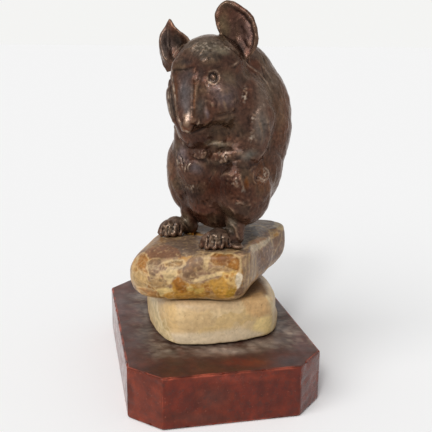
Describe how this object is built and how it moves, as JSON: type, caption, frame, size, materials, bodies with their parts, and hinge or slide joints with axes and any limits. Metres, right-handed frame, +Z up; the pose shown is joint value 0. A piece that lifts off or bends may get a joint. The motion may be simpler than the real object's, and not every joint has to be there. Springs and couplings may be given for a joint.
{
  "type": "bronze mouse figurine",
  "caption": "Bronze mouse sitting up with its paws at its chest, on stacked onyx rocks that are bedded on a rectangular marble plinth with canted corners.",
  "frame": {"origin": "centre of the plinth's underside, on the resting face of its baize", "axes": "+Z up, -Y out of the plinth's short front face, +X to the right of someone who faces that face"},
  "size_m": [0.072, 0.1046, 0.146],
  "materials": {
    "dark_bronze": "dark brown patina, waxed, with dusty hollows",
    "worn_bronze": "brown patina rubbed to red-brown on the belly and thighs",
    "red_marble": "polished, with a dusty top",
    "pale_onyx": "honed, slightly translucent",
    "golden_onyx": "honed, with cream veins",
    "mastic": "matt",
    "green_baize": "napped",
    "brass_stud": "plain",
    "zinc_steel": "zinc plated"
  },
  "bodies": {
    "root": {"plinth": "red_marble", "baize_pad": "green_baize", "lower_mastic_bed": "mastic", "lower_rock": "pale_onyx", "upper_mastic_bed": "mastic", "upper_rock": "golden_onyx", "mouse_body": "worn_bronze", "mouse_head": "dark_bronze", "neck_pin": "dark_bronze", "tail": "dark_bronze", "left_ear": "dark_bronze", "right_ear": "dark_bronze", "left_foreleg": "dark_bronze", "right_foreleg": "dark_bronze", "left_hind_foot": "dark_bronze", "right_hind_foot": "dark_bronze", "left_stud": "brass_stud", "left_stud_washer": "zinc_steel", "left_stud_nut": "zinc_steel", "right_stud": "brass_stud", "right_stud_washer": "zinc_steel", "right_stud_nut": "zinc_steel"}
  },
  "joints": []
}
